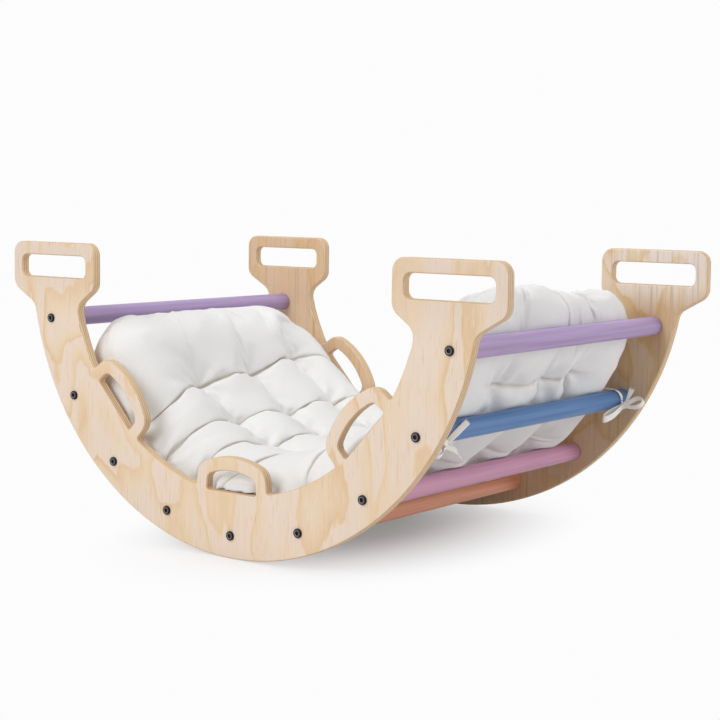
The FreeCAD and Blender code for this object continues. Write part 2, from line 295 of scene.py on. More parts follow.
def painted_rung(name, colour):
    """Satin paint over a turned dowel: the grain still shows as faint long streaks."""
    f = Finish(name)
    streak = f.noise(f.stretched((190, 4.5, 190)), 1.0, detail=4.0, roughness=0.6)
    patch = f.noise(f.stretched((30, 6, 30)), 1.0, detail=2.0)
    dark = tuple(value * STREAK_DARK for value in colour)
    light = tuple(min(value * STREAK_LIGHT, 1) for value in colour)
    tint = f.mix(f.span(streak, 0.35, 0.70), light, dark)
    tint = f.mix(f.span(patch, 0.3, 0.7, 0.0, 0.22), tint, dark)
    return f.set(Base_Color=tint, Roughness=f.span(streak, 0.3, 0.7, 0.42, 0.55),
                 Specular_IOR_Level=0.4, Normal=f.bump(streak, 0.14, 0.0005))


BLACK_OXIDE = (0.011, 0.010, 0.012)
RUBBED_OXIDE = (0.035, 0.033, 0.036)
# a painted highlight on the sockets' lips
PAINTED_LIP_HIGHLIGHT = (0.40, 0.38, 0.41)
ZINC = (0.58, 0.57, 0.53)
DULL_ZINC = (0.42, 0.42, 0.40)


def black_bolt():
    f = Finish("black_bolt")
    wear = f.noise(f.stretched((900, 900, 900)), 1.0, detail=3.0)
    tint = f.mix(f.span(wear, 0.45, 0.75), BLACK_OXIDE, RUBBED_OXIDE)
    # a painted highlight brightens the socket's lip
    lip_highlight = f.add("ShaderNodeAttribute", attribute_name="lip_highlight").outputs["Fac"]
    tint = f.mix(f.math("MULTIPLY", lip_highlight, 0.5), tint, PAINTED_LIP_HIGHLIGHT)
    return f.set(Base_Color=tint, Metallic=0.7, Roughness=f.span(wear, 0.3, 0.7, 0.24, 0.38),
                 Normal=f.bump(wear, 0.08, 0.0003))


def zinc_insert():
    f = Finish("zinc_insert")
    wear = f.noise(f.stretched((500, 60, 500)), 1.0, detail=3.0)
    tint = f.mix(f.span(wear, 0.35, 0.7), ZINC, DULL_ZINC)
    return f.set(Base_Color=tint, Metallic=1.0, Roughness=0.38, Normal=f.bump(wear, 0.06, 0.0003))


WEAVE_SCALE = 480.0
QUARTER_TURN = math.pi / 2
CLEAN_COTTON = (0.835, 0.835, 0.83)
SHADED_COTTON = (0.80, 0.80, 0.795)
SLUB_COTTON = (0.71, 0.705, 0.69)
# the sewing thread's colour, also laid on as painted shade in narrow creases, the deep fold and the seam
# knots
THREAD_AND_CREASE_SHADE = (0.47, 0.40, 0.30)


def washed_cotton():
    """Off-white plain weave, soft and matt, a little creased."""
    f = Finish("washed_cotton")
    place = f.place["Object"]
    threads = []
    for turn in ((0, 0, 0), (0, 0, QUARTER_TURN), (0, QUARTER_TURN, 0)):
        wave = f.add("ShaderNodeTexWave", wave_type="BANDS", bands_direction="X")
        f.feed(wave, "Vector", f.stretched((1, 1, 1), turn=turn))
        wave.inputs["Scale"].default_value = WEAVE_SCALE
        wave.inputs["Distortion"].default_value = 1.2
        wave.inputs["Detail"].default_value = 1.0
        threads.append(wave.outputs["Fac"])
    weave = f.math("ADD", f.math("ADD", threads[0], threads[1]), threads[2])
    slub = f.noise(f.stretched((260, 900, 260)), 1.0, detail=3.0)
    crumple = f.noise(place, 46.0, detail=4.0, roughness=0.55, distortion=0.4)
    soft = f.noise(place, 9.0, detail=2.0)
    tint = f.mix(f.span(soft, 0.3, 0.7), CLEAN_COTTON, SHADED_COTTON)
    tint = f.mix(f.span(slub, 0.45, 0.75, 0.0, 0.35), tint, SLUB_COTTON)
    # thread lines, darkened further as painted shade in the creases and knots
    thread_and_shade = f.add("ShaderNodeAttribute", attribute_name="thread_and_shade").outputs["Fac"]
    tint = f.mix(f.math("MULTIPLY", thread_and_shade, 0.75), tint, THREAD_AND_CREASE_SHADE)
    fine = f.bump(f.math("ADD", weave, slub), 0.10, 0.0004)
    return f.set(Base_Color=tint, Roughness=0.92, Specular_IOR_Level=0.18, Sheen_Weight=0.25,
                 Sheen_Roughness=0.5, Normal=f.bump(crumple, 0.20, 0.003, fine))


RIBS_PER_METRE = 520.0
RIB_SLANT = 6.0
RIB_SHADE = (0.87, 0.835, 0.775)
RIB_LIGHT = (0.97, 0.95, 0.91)
TAPE_FUZZ = (0.85, 0.81, 0.75)


def herringbone_tape():
    """Cotton tape woven in a herringbone, read along the tape's own map."""
    f = Finish("herringbone_tape")
    along, across, _ = f.split(f.place["UV"])
    fold = f.math("ABSOLUTE", f.math("SUBTRACT", f.math("FRACT", f.math("MULTIPLY", across, 2.0)), 0.5))
    slant = f.math("ADD", f.math("MULTIPLY", along, RIBS_PER_METRE), f.math("MULTIPLY", fold, RIB_SLANT))
    rib = f.math("PINGPONG", slant, 1.0)
    fuzz = f.noise(f.stretched((1, 1, 1)), 900.0, detail=3.0)
    tint = f.mix(f.span(rib, 0.15, 0.75), RIB_SHADE, RIB_LIGHT)
    tint = f.mix(f.span(fuzz, 0.4, 0.7, 0.0, 0.25), tint, TAPE_FUZZ)
    return f.set(Base_Color=tint, Roughness=0.9, Specular_IOR_Level=0.2, Sheen_Weight=0.2,
                 Normal=f.bump(f.math("ADD", rib, f.math("MULTIPLY", fuzz, 0.5)), 0.5, 0.0004))


# The frame: panels, rungs and hardware keep their solids and take these finishes

PAINTS = {
    "purple": (0.405, 0.297, 0.514),
    "blue": (0.085, 0.194, 0.416),
    "pink": (0.60, 0.298, 0.432),
    "peach": (0.84, 0.378, 0.238),
    "yellow": (0.80, 0.62, 0.28),
}
RUNG_ORDER = ("purple", "blue", "pink", "peach", "yellow", "peach", "pink", "blue", "purple")
MERGE_DISTANCE = 2e-6
SHARP_EDGE = math.radians(32)
SHARP_BOLT_EDGE = math.radians(40)
SOCKET_REACH = 2.6 * MM
SOCKET_EASE = 1.6
LIP_BEVEL = 0.55 * MM


def smooth_copy(node, name, material):
    """The node's own shape with its triangles merged and its curved faces shaded smooth."""
    piece = frame["nodes"][node].copy()
    piece.data = piece.data.copy()
    piece.name = name
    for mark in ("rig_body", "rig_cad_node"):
        if mark in piece:
            del piece[mark]
    piece.parent = None
    bpy.context.scene.collection.objects.link(piece)
    choose(piece)
    bpy.ops.object.mode_set(mode="EDIT")
    bpy.ops.mesh.select_all(action="SELECT")
    bpy.ops.mesh.remove_doubles(threshold=MERGE_DISTANCE)
    bpy.ops.object.mode_set(mode="OBJECT")
    if piece.data.has_custom_normals:
        bpy.ops.mesh.customdata_custom_splitnormals_clear()
    bpy.ops.object.shade_smooth_by_angle(angle=SHARP_EDGE)
    dress(piece, material)
    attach(piece, "frame")
    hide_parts(node)
    return piece


def open_sockets(piece):
    """Ease the bolts' hexagon sockets open to the size in view, bevel their lips, and mark the bevels for
    a painted highlight.
    """
    crown = PANEL_OUTSIDE + BOLT_HEAD_HEIGHT
    axes = rung_axes()
    mesh = bmesh.new()
    mesh.from_mesh(piece.data)
    lip_edges = []
    for vert in mesh.verts:
        axis = min(axes, key=lambda place: (vert.co.x - place.x) ** 2 + (vert.co.z - place.z) ** 2)
        gap = Vector((vert.co.x - axis.x, 0, vert.co.z - axis.z))
        vert.tag = gap.length < SOCKET_REACH and abs(vert.co.y) > PANEL_OUTSIDE + 0.1 * MM
        if vert.tag:
            vert.co += gap * (SOCKET_EASE - 1)
    for edge in mesh.edges:
        if all(vert.tag and abs(abs(vert.co.y) - crown) < 0.05 * MM for vert in edge.verts):
            lip_edges.append(edge)
    made = bmesh.ops.bevel(mesh, geom=lip_edges, offset=LIP_BEVEL, segments=3, profile=0.5,
                           affect="EDGES", clamp_overlap=True)
    # the bevels' faces are marked for the painted highlight
    lip_highlight = mesh.verts.layers.float.new("lip_highlight")
    for face in made["faces"]:
        for vert in face.verts:
            vert[lip_highlight] = 1.0
    bmesh.ops.recalc_face_normals(mesh, faces=mesh.faces[:])
    mesh.to_mesh(piece.data)
    mesh.free()
    choose(piece)
    bpy.ops.object.shade_smooth_by_angle(angle=SHARP_BOLT_EDGE)


def dress_frame():
    plywood = pine_plywood()
    for side in ("front", "rear"):
        panel = smooth_copy("side_panel_" + side, "rocker_panel_" + side, plywood)
    paints = {name: painted_rung("rung_paint_" + name, colour) for name, colour in PAINTS.items()}
    for number, colour in enumerate(RUNG_ORDER, 1):
        dowel = smooth_copy("rung_%d" % number, "painted_rung_%d" % number, paints[colour])
    black = black_bolt()
    zinc = zinc_insert()
    for side in ("front", "rear"):
        heads = smooth_copy("bolts_" + side, "socket_bolts_" + side, black)
        open_sockets(heads)
        dress(frame["nodes"]["inserts_" + side], zinc)


# Cushion

INSIDE, OUTSIDE = -1, 1
CUSHION_INNER = 284.5 * MM
CUSHION_OUTER = 384.5 * MM
CUSHION_HALF_WIDTH = 272 * MM
CUSHION_START = -73.4
CUSHION_END = 85.0
TAPER_START = 30.0
TAPER_DEPTH = 32 * MM
# Metres along the cushion's middle for each degree of the arch
ARC_PER_DEGREE = math.radians(1) * 334.5 * MM
FIRST_ROW, LAST_ROW, ROW_COUNT = -48, 64, 7
ROW_PITCH = (LAST_ROW - FIRST_ROW) / (ROW_COUNT - 1)
TUFT_ROWS = [FIRST_ROW + ROW_PITCH * row for row in range(ROW_COUNT)]
COLUMN_PITCH = 131 * MM
TUFT_COLUMNS = [-COLUMN_PITCH, 0.0, COLUMN_PITCH]
# Degrees past the first and last rows, over which the columns fade
COLUMN_FADE = 25
# Round corners of the ends: their size, and how much of it the side is drawn in by
LEFT_CORNER = (115 * MM, 0.75)
RIGHT_CORNER = (115 * MM, 0.9)
LOOSE_CORNER = (165 * MM, 0.97)
# Distances from the seams, over which the stuffing fills out
SIDE_SWELL = 64 * MM
SIDE_SLOPE = 88 * MM
END_SWELL = 80 * MM
END_FADE = (60 * MM, 160 * MM)
# The side seams lie low at the left and middle, and rise between these degrees to lie high at the right
SEAM_SINK = 14 * MM
SEAM_RISE = 7 * MM
SEAM_RISE_ANGLES = (12, 48)
SEAM_REACH = 45 * MM
SIDE_PULL = 5 * MM
# Degrees that the right end's seam leans by
END_LEAN_FRONT = 1.6
END_LEAN_REAR = 1.0
END_PINCH = 0.5
# Depths in millimetres that the thread and the stuffing give the faces
FACE_DEPTH = 48
ROW_FOLD = {INSIDE: 5.5, OUTSIDE: 9.5}
ROW_LINE = {INSIDE: 2.7, OUTSIDE: 1.5}
COLUMN_DIP = 11
COLUMN_LINE = 1.1
TUFT_DIMPLE = 7
TUFT_PLEAT = 1.6
PUFF = 5
END_PLEAT = {"left": 1.0, "right": 2.2}
FAN_PLEAT = 1.8
LAST_TUFT_FOLD = 9.0
SEAM_KNOT = 4.0
SEAM_GATHER = 1.7
# How firmly the cloth is held while it is stuffed
BORDER_HOLD = 0.85
ROW_HOLD = {INSIDE: 0.42, OUTSIDE: 0.55}
COLUMN_HOLD = {INSIDE: 0.34, OUTSIDE: 0.42}
ON_LINE = 0.97
# The middle slots of the panels, over the flat of their ledges, and how far the cushion swells into them
SLOT_HALF_LENGTH = 45 * MM
SLOT_LEDGE = 100.5 * MM
SLOT_TOP = 136 * MM
SLOT_FILL = 295 * MM
SLOT_SHARE = 0.92
SLOT_MOUTH = RUNG_HALF_LENGTH - 2 * MM
# Room left to the rungs and panels, and how softly the sides press flat
RUNG_ROOM = 1.7 * MM
PANEL_ROOM = 2.5 * MM
SIDE_SOFTNESS = 14 * MM
SKIN_ROOM = 2 * MM
# Cells of the mesh between the sewn lines, crowded towards them
CELLS_PER_ROW = 18
CELLS_AT_START = 26
CELLS_AT_END = 24
CELLS_PER_COLUMN = 20
CELLS_AT_SIDE = 24
CROWDING = 0.72
# The most that the stuffing may move a point
INSIDE_SWELL = 5 * MM
OUTSIDE_SWELL = 11 * MM
STUFFING_STEPS = 20
COTTON_CLOTH = {
    "quality": 7,
    "mass": 0.25,
    "tension_stiffness": 18,
    "compression_stiffness": 10,
    "shear_stiffness": 6,
    "bending_stiffness": 0.25,
    "tension_damping": 12,
    "compression_damping": 12,
    "shear_damping": 8,
    "use_pressure": True,
    "uniform_pressure_force": 4.5,
    "shrink_min": -0.05,
    "vertex_group_mass": "held",
    "pin_stiffness": 1.0,
}
# How far hand-sewn tufts stray from the even grid: degrees along the arch, millimetres across.
# Rows -1 and 7 stand for the seams of the ends, and columns -1 and 3 for the front and rear seams.
TUFT_STRAYS = {
    (-1, -1): (0, -8), (-1, 0): (0, -8), (-1, 1): (0, -12), (-1, 2): (0, -26), (-1, 3): (0, -34),
    (0, -1): (9.5, 0), (0, 0): (1.2, 5), (0, 1): (-0.7, 12), (0, 2): (-5.4, 5),
    (1, -1): (1.5, 0), (1, 0): (-0.2, 14), (1, 1): (-0.2, 12), (1, 2): (-2.4, 15),
    (2, -1): (-6.5, 0), (2, 0): (-3.0, 8), (2, 1): (-1.0, 0), (2, 2): (-0.4, 2),
    (3, -1): (-13.0, 0), (3, 0): (0.4, 2), (3, 1): (1.0, 6),
    (4, -1): (-7.0, 0), (4, 0): (0, -28), (4, 1): (0, -30), (4, 2): (-1.5, -34),
    (5, -1): (-3.0, 0), (5, 0): (-4.5, 0), (5, 1): (-4.5, 0), (5, 2): (-4.5, 0),
    (6, 0): (-0.6, 32), (6, 1): (-1.1, 44), (6, 2): (0, -20),
    (7, 0): (0, 38), (7, 1): (0, 40),
}
STRAY_FALLOFF = 3.2


def ruled(stops, counts):
    """Values between each pair of stops, crowded towards the stops."""
    values = [stops[0]]
    for low, high, count in zip(stops, stops[1:], counts):
        for step in range(1, count + 1):
            share = step / count
            share -= CROWDING * math.sin(math.tau * share) / math.tau
            values.append(low + (high - low) * share)
    return values


def nearness(value, lines, pitch):
    """1 on a sewn line, 0 half a pitch or more away."""
    gap = min(abs(value - line) for line in lines)
    return max(0.0, 1 - gap / (pitch / 2))


def swell(distance, reach):
    """How full the stuffing is at a distance from the seam."""
    left = 1 - min(distance / reach, 1)
    return math.sqrt(max(1 - left ** 2.3, 0))


def valley(near):
    """Depth share of the fold along a sewn line: round on the puffs and sharp at the line."""
    return 1 - math.sqrt(max(1 - near ** 3.2, 0))


def trough(near):
    """Depth share of a soft dip along a line of tufts with no stitching between them."""
    return (1 - math.cos(math.pi * near)) / 2


def strayed(angle, width):
    """A place on the even grid, carried along with the tufts near it."""
    total, turn, shift = 0.0, 0.0, 0.0
    for row in range(-1, len(TUFT_ROWS) + 1):
        rows_off = (angle - TUFT_ROWS[0]) / ROW_PITCH - row
        for column in range(-1, len(TUFT_COLUMNS) + 1):
            columns_off = width / COLUMN_PITCH + 1 - column
            share = math.exp(-STRAY_FALLOFF * (rows_off ** 2 + columns_off ** 2))
            degrees, millimetres = TUFT_STRAYS.get((row, column), (0, 0))
            total += share
            turn += degrees * share
            shift += millimetres * MM * share
    return angle + turn / total, width + shift / total


class Spot:
    """A place on one face of the cushion, and how it lies to the seams and tufts."""

    def __init__(self, face, angle, width):
        self.face, self.angle, self.width = face, angle, width
        self.end_gap = min(angle - CUSHION_START, CUSHION_END - angle) * ARC_PER_DEGREE
        self.side_gap = CUSHION_HALF_WIDTH - abs(width)
        self.row_near = nearness(angle, TUFT_ROWS, ROW_PITCH)
        self.column_near = nearness(width, TUFT_COLUMNS, COLUMN_PITCH)
        self.past = min(max(TUFT_ROWS[0] - angle, angle - TUFT_ROWS[-1], 0) / COLUMN_FADE, 1)
        row = min(TUFT_ROWS, key=lambda value: abs(angle - value))
        column = min(TUFT_COLUMNS, key=lambda value: abs(width - value))
        self.from_row = (angle - row) * ARC_PER_DEGREE
        self.from_column = width - column
        self.from_tuft = math.hypot(self.from_row, self.from_column)
        self.rows_along = (angle - TUFT_ROWS[0]) / ROW_PITCH
        self.columns_across = width / COLUMN_PITCH
        self.taper = max(angle - TAPER_START, 0) / (CUSHION_END - TAPER_START) * TAPER_DEPTH / 2
        # outside, the rows fade out towards the sides and are slack up to the last one
        self.row_share = 1.0
        if face == OUTSIDE:
            self.row_share = 0.75 * smoothstep(1.3 * COLUMN_PITCH, 0.95 * COLUMN_PITCH, abs(width))
            self.row_share *= 0.55 + 0.45 * smoothstep(48, 58, angle)
        self.column_share = 1 - 0.9 * smoothstep(0.0, 0.4, self.past)

    def half_width(self):
        """Half the cushion's width here, drawn in at the ends' corners and where a row meets the side."""
        size, share = RIGHT_CORNER
        if self.angle < 0:
            size, share = LOOSE_CORNER if self.width > 0 else LEFT_CORNER
        corner = max(size - self.end_gap, 0)
        round_off = size - math.sqrt(size ** 2 - corner ** 2)
        return CUSHION_HALF_WIDTH - share * round_off - SIDE_PULL * valley(self.row_near)

    def end_turn(self):
        """How the right end leans: fullest on its front half, lower to the rear, pinched at the tufts."""
        front = smoothstep(0, -80 * MM, self.width) * smoothstep(-262 * MM, -185 * MM, self.width)
        rear = smoothstep(0, 110 * MM, self.width)
        pinch = END_PINCH * math.exp(-(self.from_column / (14 * MM)) ** 2)
        lean = END_LEAN_FRONT * front - END_LEAN_REAR * rear - pinch
        return lean * smoothstep(TUFT_ROWS[-1], CUSHION_END, self.angle)

    def side_fullness(self):
        """How full the cushion is towards its sides: boxy, but its inside slopes down to the panels."""
        boxy = swell(self.side_gap, SIDE_SWELL)
        if self.face == OUTSIDE:
            return boxy
        sloping = math.sin(math.pi / 2 * min(self.side_gap / SIDE_SLOPE, 1))
        return boxy + (sloping - boxy) * smoothstep(*END_FADE, self.end_gap)

    def lift(self, fullness):
        """Height of the stuffing over the middle of the cushion."""
        half = (CUSHION_OUTER - CUSHION_INNER) / 2 - self.taper - SKIN_ROOM
        fold = ROW_FOLD[self.face] * valley(self.row_near) * self.row_share
        fold += COLUMN_DIP * trough(self.column_near) * self.column_share
        fold += TUFT_DIMPLE * math.exp(-(self.from_tuft / (18 * MM)) ** 2)
        puff = (1 - self.row_near) * (1 - self.column_near) * PUFF * fullness
        full = self.side_fullness() * swell(self.end_gap, END_SWELL)
        return full * half * max(1 + (puff - fold) / FACE_DEPTH, 0.1)

    def seam_sink(self):
        """How far the side seams lie outwards of the cushion's middle, tucked in behind the panels."""
        sink = SEAM_SINK - (SEAM_SINK + SEAM_RISE) * smoothstep(*SEAM_RISE_ANGLES, self.angle)
        return sink * smoothstep(SEAM_REACH, 0, self.side_gap) * smoothstep(*END_FADE, self.end_gap)

    def place(self, fullness):
        angle, width = strayed(self.angle + self.end_turn(), self.width)
        middle = (CUSHION_INNER + CUSHION_OUTER) / 2 + self.taper + self.seam_sink()
        radius = middle + self.face * self.lift(fullness)
        return around_arch(radius, angle, width * self.half_width() / CUSHION_HALF_WIDTH)

    def hold(self, border):
        """How firmly the thread holds the cloth here while it is stuffed."""
        if border:
            return BORDER_HOLD
        if self.from_tuft < 9 * MM:
            return 1.0
        if self.row_near > ON_LINE and self.end_gap > 60 * MM:
            return ROW_HOLD[self.face] * self.row_share if self.row_share > 0.3 else 0.0
        if self.column_near > ON_LINE and self.past < 0.2:
            return COLUMN_HOLD[self.face] * self.column_share
        return 0.0

    def creases(self, phase, lobes):
        """Depth in millimetres of the folds sewn in here, and how much of the thread and the painted
        crease shade shows.
        """
        inside = smoothstep(0, 60 * MM, self.end_gap) * smoothstep(0, 40 * MM, self.side_gap)
        row_line = ROW_LINE[self.face] * self.row_share * inside
        depth = row_line * math.exp(-(self.from_row / (2.3 * MM)) ** 2)
        depth += COLUMN_LINE * self.column_share * math.exp(-(self.from_column / (4 * MM)) ** 2)
        # the row's thread line, which also paints the shade of its narrow crease
        thread_and_shade = self.row_share * inside * math.exp(-(self.from_row / (2.2 * MM)) ** 2)
        # radial pleats round a tuft
        bearing = math.atan2(self.from_row, self.from_column)
        pleat = math.sin(lobes * bearing + phase) * self.from_tuft / (15 * MM)
        depth += TUFT_PLEAT * pleat * math.exp(1 - self.from_tuft / (15 * MM)) * inside
        # small upright pleats where the end seams are drawn in at the columns
        seam = math.exp(-self.end_gap / (34 * MM)) * math.exp(-(self.from_column / (36 * MM)) ** 2)
        drawn = END_PLEAT["left" if self.angle < 0 else "right"]
        depth += drawn * seam * math.sin(math.tau * self.from_column / (15 * MM) + phase)
        # a fan of long pleats above the first row's rear tuft
        if self.face == INSIDE and self.angle < TUFT_ROWS[0] and self.width > COLUMN_PITCH / 2:
            climb = -self.from_row
            fan = math.exp(-((climb - 55 * MM) / (30 * MM)) ** 2 - (self.from_column / (26 * MM)) ** 2)
            pitch = (7 + 60 * climb) * MM
            depth += FAN_PLEAT * fan * math.sin(math.tau * self.from_column / pitch + phase)
        # the deep fold of the outside's last rear tuft, with painted shade inside it
        if self.face == OUTSIDE and self.width > COLUMN_PITCH / 2:
            below = smoothstep(54.5, 58.5, self.angle) * smoothstep(67.0, 63.5, self.angle)
            depth += LAST_TUFT_FOLD * below * math.exp(-(self.from_column / (5 * MM)) ** 2)
            thread_and_shade += 0.9 * below * math.exp(-(self.from_column / (2.6 * MM)) ** 2)
        # gathers where each row's thread ends at the side seam, with painted shade in their pits
        from_knot = math.hypot(self.from_row, self.side_gap)
        knot = math.exp(-(from_knot / (11 * MM)) ** 2)
        ray = math.sin(7 * math.atan2(self.from_row, self.face * self.side_gap) + phase)
        ring = from_knot / (16 * MM) * math.exp(1 - from_knot / (16 * MM))
        depth += SEAM_KNOT * knot + SEAM_GATHER * ray * ring
        return depth, min(thread_and_shade + 0.7 * knot, 1.0)


def cushion_skin():
    """Two tufted faces sewn together round the edge, as one closed mesh with its pin weights."""
    angles = ruled([CUSHION_START] + TUFT_ROWS + [CUSHION_END],
                   [CELLS_AT_START] + [CELLS_PER_ROW] * (ROW_COUNT - 1) + [CELLS_AT_END])
    widths = ruled([-CUSHION_HALF_WIDTH] + TUFT_COLUMNS + [CUSHION_HALF_WIDTH],
                   [CELLS_AT_SIDE, CELLS_PER_COLUMN, CELLS_PER_COLUMN, CELLS_AT_SIDE])
    fullness = {}
    spots = []
    mesh = bmesh.new()
    pin = mesh.verts.layers.deform.verify()
    grid = {}
    last_row, last_column = len(angles) - 1, len(widths) - 1
    for face in (INSIDE, OUTSIDE):
        for i, angle in enumerate(angles):
            for j, width in enumerate(widths):
                border = i in (0, last_row) or j in (0, last_column)
                if border and face == OUTSIDE:
                    grid[face, i, j] = grid[INSIDE, i, j]
                    continue
                spot = Spot(face, angle, width)
                puff = face, math.floor(spot.rows_along), math.floor(spot.columns_across)
                if puff not in fullness:
                    fullness[puff] = rng.uniform(-1, 1)
                vert = mesh.verts.new(spot.place(fullness[puff]))
                hold = spot.hold(border)
                if hold:
                    vert[pin][0] = hold
                grid[face, i, j] = vert
                spots.append(spot)
    for face in (INSIDE, OUTSIDE):
        for i in range(last_row):
            for j in range(last_column):
                steps = ((0, 0), (1, 0), (1, 1), (0, 1))
                corners = [grid[face, i + down, j + over] for down, over in steps]
                mesh.faces.new(corners if face == OUTSIDE else corners[::-1])
    bmesh.ops.recalc_face_normals(mesh, faces=mesh.faces[:])
    data = bpy.data.meshes.new("tufted_cushion")
    mesh.to_mesh(data)
    mesh.free()
    return data, spots


def stuff(piece, spots):
    """Blow the sewn skin up against its tufts, so that the cloth gathers where it is held."""
    rest = [vert.co.copy() for vert in piece.data.vertices]
    cloth = piece.modifiers.new("stuffing", "CLOTH")
    for name, value in COTTON_CLOTH.items():
        setattr(cloth.settings, name, value)
    cloth.settings.effector_weights.gravity = 0
    cloth.collision_settings.use_collision = False
    cloth.point_cache.frame_start = 1
    cloth.point_cache.frame_end = STUFFING_STEPS
    for step in range(1, STUFFING_STEPS + 1):
        bpy.context.scene.frame_set(step)
    apply_all(piece)
    bpy.context.scene.frame_set(1)
    for vert, start, spot in zip(piece.data.vertices, rest, spots):
        flat = smoothstep(50 * MM, 155 * MM, spot.end_gap) if spot.face == INSIDE else 0.0
        most = OUTSIDE_SWELL + (INSIDE_SWELL - OUTSIDE_SWELL) * flat
        move = vert.co - start
        if move.length > most:
            vert.co = start + move * (most / move.length)


def gather(piece, spots):
    """Sew the folds in, and mark where the thread and the painted crease shade show."""
    phases = {}
    shown = piece.data.attributes.new("thread_and_shade", "FLOAT", "POINT")
    normals = [vert.normal.copy() for vert in piece.data.vertices]
    for number, (vert, normal, spot) in enumerate(zip(piece.data.vertices, normals, spots)):
        tuft = spot.face, round(spot.rows_along), round(spot.columns_across)
        if tuft not in phases:
            phases[tuft] = rng.uniform(0, math.tau), rng.choice((5, 6, 7))
        depth, thread_and_shade = spot.creases(*phases[tuft])
        vert.co -= normal * depth * MM
        shown.data[number].value = thread_and_shade


def slot_fill(place, reach):
    """How far the cushion swells into a middle slot here, from 0 to 1: most along the slot's ledge."""
    along = smoothstep(SLOT_HALF_LENGTH, 0.75 * SLOT_HALF_LENGTH, abs(place.x))
    above = smoothstep(SLOT_LEDGE - MM, SLOT_LEDGE + 0.4 * MM, place.z)
    below = smoothstep(SLOT_TOP, SLOT_LEDGE + 11 * MM, place.z)
    return SLOT_SHARE * along * above * below * smoothstep(225 * MM, 258 * MM, reach)


def keep_clear(piece):
    """Press the cushion in at the rungs and panels, and let it swell a little into the middle slots."""
    axes = rung_axes()
    room = RUNG_RADIUS + RUNG_ROOM
    flat = RUNG_HALF_LENGTH - PANEL_ROOM - SIDE_SOFTNESS
    for vert in piece.data.vertices:
        for axis in axes:
            gap = Vector((vert.co.x - axis.x, 0, vert.co.z - axis.z))
            if gap.length < room:
                inward = Vector((-axis.x, 0, ARCH_HEIGHT - axis.z)).normalized()
                depth = gap.dot(inward)
                across = gap - inward * depth
                vert.co += inward * (math.sqrt(max(room ** 2 - across.length_squared, 0)) - depth)
        reach = abs(vert.co.y)
        if reach > flat:
            reach = flat + SIDE_SOFTNESS * math.tanh((reach - flat) / SIDE_SOFTNESS)
        reach += (SLOT_FILL - reach) * slot_fill(vert.co, reach)
        vert.co.y = math.copysign(reach, vert.co.y)
        if reach > SLOT_MOUTH and abs(vert.co.x) < SLOT_HALF_LENGTH:
            vert.co.z = max(vert.co.z, SLOT_LEDGE)


def tufted_cushion():
    data, spots = cushion_skin()
    piece = bpy.data.objects.new("tufted_cushion", data)
    bpy.context.scene.collection.objects.link(piece)
    piece.vertex_groups.new(name="held")
    choose(piece)
    stuff(piece, spots)
    gather(piece, spots)
    finer = piece.modifiers.new("finer", "SUBSURF")
    finer.levels = finer.render_levels = 1
    apply_all(piece)
    keep_clear(piece)
    bpy.ops.object.shade_smooth()
    piece.vertex_groups.clear()
    dress(piece, washed_cotton())
    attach(piece, "cushion")
    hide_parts("cushion")
    return piece


# Tape ties

LEFT, RIGHT = -1, 1
FRONT, REAR = -1, 1
TIE_ANGLE = 57.0
TIE_Y = 248.5 * MM
TIE_SHIFT = {REAR: 0.0, FRONT: 6 * MM}
TAPE_WIDTH = 9 * MM
TAPE_THICKNESS = 0.8 * MM
TAPE_LANES = 4
TAPE_ROOM = 1.7 * MM
SEWN_DEPTH = 4 * MM
# The two wraps of each tie: which way round the rung, and the degrees where it stops
WRAPS = {REAR: ((1, 164), (-1, 176)), FRONT: ((1, 186), (-1, 154))}
WRAP_FIRST = 66
WRAP_STEP = 14
WRAP_APART = 1.2 * MM
WRAP_NARROWING = 0.2
# Degrees below level where the knot sits on the rung
KNOT_DROP = {REAR: 23.0, FRONT: 45.0}
KNOT_RADIUS = 4 * MM
KNOT_SLACK = 1.2 * MM
KNOT_WIDTH = 7.5 * MM
KNOT_STEPS = 9
# A loop of a bow from the knot to its tip and back: shares of its reach and of its opening
LOOP_SHAPE = ((0.02, 0.10), (0.30, 0.55), (0.62, 1.0), (0.88, 0.72), (1.0, 0.05),
              (0.90, -0.62), (0.62, -0.9), (0.30, -0.5), (0.02, -0.10))
FRAY_THREADS = 9
FRAY_LEAN = 0.35
FRAY_LENGTH = (1.5, 4.0)


def between(before, start, end, after, share):
    """Smooth value between start and end that heads for the values on either side."""
    bend = 2 * before - 5 * start + 4 * end - after
    twist = 3 * start - before - 3 * end + after
    return (2 * start + (end - before) * share + bend * share ** 2 + twist * share ** 3) / 2


def smooth_route(stops, steps):
    """Rows of numbers along a smooth curve through the stops."""
    ends = [stops[0]] + stops + [stops[-1]]
    route = []
    for number in range(len(stops) - 1):
        lanes = list(zip(*ends[number:number + 4]))
        for step in range(steps):
            route.append([between(*lane, step / steps) for lane in lanes])
    route.append(list(stops[-1]))
    return route


